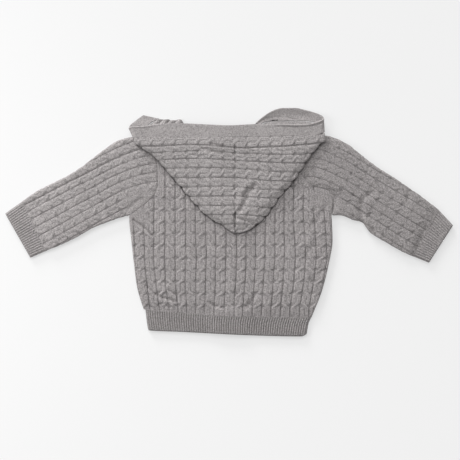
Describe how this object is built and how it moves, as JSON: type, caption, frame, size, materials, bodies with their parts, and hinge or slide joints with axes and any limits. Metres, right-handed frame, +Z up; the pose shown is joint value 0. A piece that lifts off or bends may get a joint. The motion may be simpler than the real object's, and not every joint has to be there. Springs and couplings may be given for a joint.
{
  "type": "baby's hooded cable-knit cardigan",
  "caption": "Baby's hooded cable-knit cardigan laid flat, back up, hood down on the back and sleeves spread, with ribbed hem and cuffs and a buttoned front underneath.",
  "frame": {"origin": "the middle of the garment's footprint, on the surface that it lies on", "axes": "+X to the wearer's right along the spread sleeves, +Y from the hem towards the hood, +Z up out of the surface, towards the back of the garment"},
  "size_m": [0.6284, 0.3205, 0.0159],
  "materials": {
    "cable_knit": "matt heather-grey cotton cable knit, slightly fuzzy",
    "rib_knit": "matt heather-grey one-by-one rib",
    "plain_knit": "matt heather-grey plain knit band",
    "button": "matt grey plastic"
  },
  "bodies": {
    "root": {"back": "cable_knit", "front_left": "cable_knit", "front_right": "cable_knit", "sleeve_left": "cable_knit", "sleeve_right": "cable_knit", "hood_left": "cable_knit", "hood_right": "cable_knit", "back_rib": "rib_knit", "front_rib_left": "rib_knit", "front_rib_right": "rib_knit", "cuff_left": "rib_knit", "cuff_right": "rib_knit", "front_band_left": "plain_knit", "front_band_right": "plain_knit", "hood_band": "plain_knit", "button_1": "button", "button_2": "button", "button_3": "button", "button_4": "button", "button_5": "button"}
  },
  "joints": []
}
